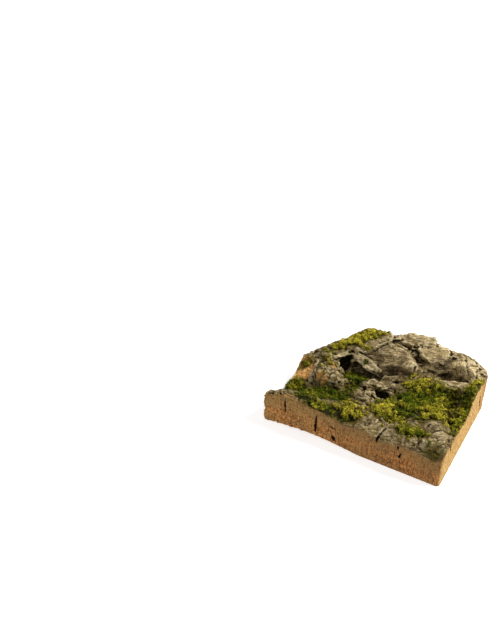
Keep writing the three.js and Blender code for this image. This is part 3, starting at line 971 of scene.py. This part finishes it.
def oval_of(node):
    """Middle, half sizes and axes of a cushion seen from above, in mm."""
    corners = np.array([v.co[:2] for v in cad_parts[node].data.vertices])
    corners = (corners - np.array(BARK_LOW[:2])) / MM
    middle = (corners.min(0) + corners.max(0)) / 2
    away = corners - middle
    _, _, axes = np.linalg.svd(away, full_matrices=False)
    return middle, np.abs(away @ axes.T).max(0), axes


def drop(tree, place, reach):
    """Where a ray straight down from a place in mm meets a surface, and the normal there."""
    seat, normal, _, _ = tree.ray_cast(Vector(to_metres(place)), Vector((0, 0, -1)), reach * MM)
    if seat is None:
        return None, None
    return (np.array(seat) - np.array(BARK_LOW)) / MM, np.array(normal)


def tuft_spots(half, spread_out, rng):
    """Tufts over an oval in its own axes: place, how far out it stands, and turn."""
    for u in np.arange(-half[0] * spread_out, half[0] * spread_out, TUFT_SPACING):
        for v in np.arange(-half[1] * spread_out, half[1] * spread_out, TUFT_SPACING):
            own = np.array((u, v)) + rng.uniform(-0.5, 0.5, 2) * TUFT_SPACING
            out = math.hypot(*(own / half))
            spin = rng.uniform(0, 2 * math.pi)
            if out < spread_out:
                yield own, out, spin


def tuft_shoots(spot, start, reach, spin, bark_tree):
    """The shoots of one tuft: place, normal, and place in the tuft."""
    for shoot in range(TUFT_SHOOTS):
        angle = spin + 2 * math.pi * shoot / (TUFT_SHOOTS - 1)
        offset = np.array((math.cos(angle), math.sin(angle))) * (shoot > 0)
        seat, normal = drop(bark_tree, (*(spot + offset * TUFT_RADIUS), start), reach)
        if seat is None or normal[2] < STEEPEST:
            continue
        if EDGE_GAP < seat[0] < LENGTH - RIGHT_GAP and seat[1] > EDGE_GAP:
            yield seat, normal, offset


def tuft_seats(node, spread_out, loose, bark_tree, rng):
    """Table of the shoots in and around a cushion."""
    cushion = tree_of(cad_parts[node].data)
    middle, half, axes = oval_of(node)
    ceiling = HEIGHT + 20
    seats = []
    tuft = 0
    for own, out, spin in tuft_spots(half, spread_out, rng):
        pulled_in = own * min(1.0, LID_SHARE / max(out, 0.01))
        lid, _ = drop(cushion, (*(middle + pulled_in @ axes), ceiling), ceiling)
        if lid is None:
            continue
        tuft += 1
        rare = np.interp(out, (0, 0.8, 1.1, spread_out), (-0.65, -0.4, -0.1, 0.4))
        deep = 0.5 if out < 0.9 else 3.0
        for seat, normal, offset in tuft_shoots(middle + own @ axes, lid[2] + 3, 14, spin, bark_tree):
            if seat[2] < lid[2] + deep:
                seats.append((*seat, *normal, *offset, tuft, out, rare))
    for at, size, base in loose:
        for own, out, spin in tuft_spots(np.array(size), 1.0, rng):
            tuft += 1
            rare = base + 0.3 * out
            for seat, normal, offset in tuft_shoots(np.array(at) + own, ceiling, ceiling, spin, bark_tree):
                seats.append((*seat, *normal, *offset, tuft, 0.9 + 0.3 * out, rare))
    return np.array(seats)


def frames_of(axes):
    """Two directions across each axis."""
    side = np.cross(axes, np.where(np.abs(axes[:, :1]) < 0.8, [[1.0, 0, 0]], [[0, 1.0, 0]]))
    side /= np.linalg.norm(side, axis=1, keepdims=True)
    return side, np.cross(axes, side)


def shoots(places, axes, heights, reach, rng):
    """Closed four-faced stems and leaves: points, faces, and each point's share along its leaf and up."""
    side, other = frames_of(axes)
    spin = rng.uniform(0, 2 * math.pi, len(places))
    tetra = np.array([(0, 1, 2), (0, 2, 3), (0, 3, 1), (1, 3, 2)])
    points, faces, along, rise, start = [], [], [], [], 0

    def add(corners, shares, up):
        nonlocal start
        block = np.stack(corners, 1)
        points.append(block.reshape(-1, 3))
        faces.append((tetra[None] + start + 4 * np.arange(len(block))[:, None, None]).reshape(-1, 3))
        along.append(np.tile(shares, len(block)))
        rise.append(np.full(4 * len(block), up))
        start += 4 * len(block)

    foot = places - STEM_SINK * axes
    ring = [foot + STEM_RADIUS * (math.cos(a) * side + math.sin(a) * other) for a in (0, 2.1, 4.2)]
    add([places + 0.95 * heights[:, None] * axes, *ring], (0.5, 0, 0, 0), 0.2)
    for leaf in range(LEAVES):
        up = leaf / (LEAVES - 1)
        angle = spin + leaf * GOLDEN_TURN
        out = np.cos(angle)[:, None] * side + np.sin(angle)[:, None] * other
        across = np.cos(angle)[:, None] * other - np.sin(angle)[:, None] * side
        lean = np.radians(6 + 50 * up + rng.normal(0, 16, len(places)))[:, None]
        length = (reach * (1.15 - 0.4 * up) * rng.uniform(0.8, 1.2, len(places)))[:, None]
        ray = np.cos(lean) * out + np.sin(lean) * axes
        base = places + (heights * (0.3 + 0.65 * up))[:, None] * axes
        middle = base + 0.45 * length * ray + 0.1 * length * axes
        half = 0.13 * length * across
        add([base, middle + half, base + length * ray, middle - half], (0, 0.5, 1, 0.5), up)
    return np.concatenate(points), np.concatenate(faces), np.concatenate(along), np.concatenate(rise)


def make_moss(node, yellow, height, spread_out, loose, bark_tree, material, rng):
    """Moss shoots for one cushion; returns where they stand."""
    seats = tuft_seats(node, spread_out, loose, bark_tree, rng)
    lumps = 1.35 * fractal(seats[:, PLACE], 7, 21, 2)
    tuft = seats[:, TUFT].astype(int)
    luck = rng.normal(0, 1, tuft.max() + 1)[tuft]
    keep = lumps + 0.15 * luck > seats[:, RARE]
    seats, luck = seats[keep], luck[keep]
    places, normals, offsets = seats[:, PLACE], seats[:, NORMAL], seats[:, OFFSET]
    inner = 1 - smoothstep(0.5, 1.4, seats[:, OUT])
    centre = 1 - np.hypot(*offsets.T)
    lean = np.column_stack([0.3 * offsets, np.full(len(places), 0.55)])
    axes = 0.5 * normals + lean + rng.normal(0, 0.26, places.shape)
    axes /= np.linalg.norm(axes, axis=1, keepdims=True)
    heights = height * (0.35 + 0.65 * inner) * (0.75 + 0.25 * centre) * (1 + 0.16 * luck)
    heights = np.clip(heights * rng.uniform(0.65, 1.3, len(places)), 1.2, 7.5)
    reach = (1.7 + 1.2 * inner) * rng.uniform(0.75, 1.3, len(places))
    points, faces, along, rise = shoots(places, axes, heights, reach, rng)
    mesh = mesh_from(node, to_metres(points), faces)
    tone = yellow + sum_of(TINTS, places) + 0.35 * fractal(places, 11, 22, 2) + 0.15 * luck
    tone = tone + rng.normal(0, 0.2, len(places))
    # Strength of the painted highlight on each shoot's upper leaf tips
    gleam = rng.uniform(0.45, 1.8, len(places))
    for name, values in (("tone", np.clip(tone, 0, 1)), ("gleam", gleam)):
        add_layer(mesh, name, np.tile(np.repeat(values, 4), LEAVES + 1))
    add_layer(mesh, "along", along)
    add_layer(mesh, "rise", rise)
    mesh.materials.append(material)
    moss = add_object(node + "_shoots", mesh)
    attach(moss, "root")
    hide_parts(node)
    return places


def moss_material():
    n = Nodes("moss")
    tone = n.layer("tone")
    # Leaves low on a shoot take a dark colour, partly older growth and partly painted shade deep in the
    # cushion; upper leaf tips take yellow-green, partly young growth and partly painted highlight, raised
    # shoot by shoot by gleam
    shaded_old_growth = n.mix(tone, linear(10, 10, 1), linear(46, 38, 3))
    lit_young_tips = n.mix(tone, linear(100, 118, 8), linear(248, 230, 74))
    light = n.math("MULTIPLY", n.ramp(n.layer("rise"), 0.0, 1.0), n.ramp(n.layer("along"), -0.8, 0.9))
    colour = n.mix(n.math("MULTIPLY", light, n.layer("gleam")), shaded_old_growth, lit_young_tips)
    return n.finish(colour, roughness=0.75, specular=0.1)


def make_all_moss(bark, field):
    """Moss on all cushions, and a green film on the bark around it."""
    material = moss_material()
    bark_tree = tree_of(bark.data)
    rng = np.random.default_rng(SEED)
    seats = [make_moss(node, *look, bark_tree, material, rng) for node, look in MOSS.items()]
    places = np.concatenate(seats)
    count = np.zeros((len(field.x), len(field.y)))
    i = np.searchsorted(field.x, places[:, 0]) - 1
    j = np.searchsorted(field.y, places[:, 1]) - 1
    np.add.at(count, (i, j), TUFT_SPACING ** 2 / TUFT_SHOOTS / VOXEL ** 2)
    points, _ = vertex_places(bark.data)
    near_moss = plan_values(field, blur(count, FILM_BLUR / VOXEL), points)
    add_layer(bark.data, "film", sum_of(FILMS, points) + near_moss)


# Stage, light and camera: half side of the floor, and each light's place, size (m) and power (W)
FLOOR_HALF = 6.0
FLOOR_GLOW = 0.72
SKY_GLOW = 0.28
LIGHT_AIM = (0.0, 0.0, 0.02)
LIGHTS = {
    "key": ((0.85, 0.55, 1.1), 0.7, 31),
    "fill": ((-1.0, -0.9, 0.9), 1.0, 1.6),
}


def make_stage():
    mesh = bpy.data.meshes.new("floor")
    corners = [(FLOOR_HALF * x, FLOOR_HALF * y, 0) for x, y in ((-1, -1), (1, -1), (1, 1), (-1, 1))]
    mesh.from_pydata(corners, [], [(0, 1, 2, 3)])
    floor = add_object("floor", mesh)
    n = Nodes("floor")
    n.shader.inputs["Emission Color"].default_value = (1, 1, 1, 1)
    n.shader.inputs["Emission Strength"].default_value = FLOOR_GLOW
    mesh.materials.append(n.finish((0.8, 0.8, 0.8, 1), roughness=0.9, specular=0.5))


def make_light(name, at, size, power):
    lamp = bpy.data.lights.new(name, "AREA")
    lamp.shape = "DISK"
    lamp.size = size
    lamp.energy = power
    holder = add_object(name, lamp)
    holder.location = at
    point_along(holder, Vector(LIGHT_AIM) - Vector(at))


def make_lights():
    world = bpy.data.worlds.new("studio")
    world.use_nodes = True
    background = world.node_tree.nodes["Background"]
    background.inputs["Color"].default_value = (1, 1, 1, 1)
    background.inputs["Strength"].default_value = SKY_GLOW
    bpy.context.scene.world = world
    for name, look in LIGHTS.items():
        make_light(name, *look)
    bpy.context.scene.view_settings.view_transform = "Standard"


def make_camera():
    data = bpy.data.cameras.new("camera")
    data.sensor_width = SENSOR
    data.lens = SENSOR * FOCAL_PIXELS / IMAGE_LONG_SIDE
    camera = add_object("camera", data)
    camera.location = to_metres(CAMERA_AT)
    azimuth, elevation = math.radians(CAMERA_AZIMUTH), math.radians(CAMERA_ELEVATION)
    flat = math.cos(elevation)
    point_along(camera, (-math.sin(azimuth) * flat, math.cos(azimuth) * flat, -math.sin(elevation)))
    bpy.context.scene.camera = camera


make_camera()
make_stage()
make_lights()
make_all_moss(*make_bark())
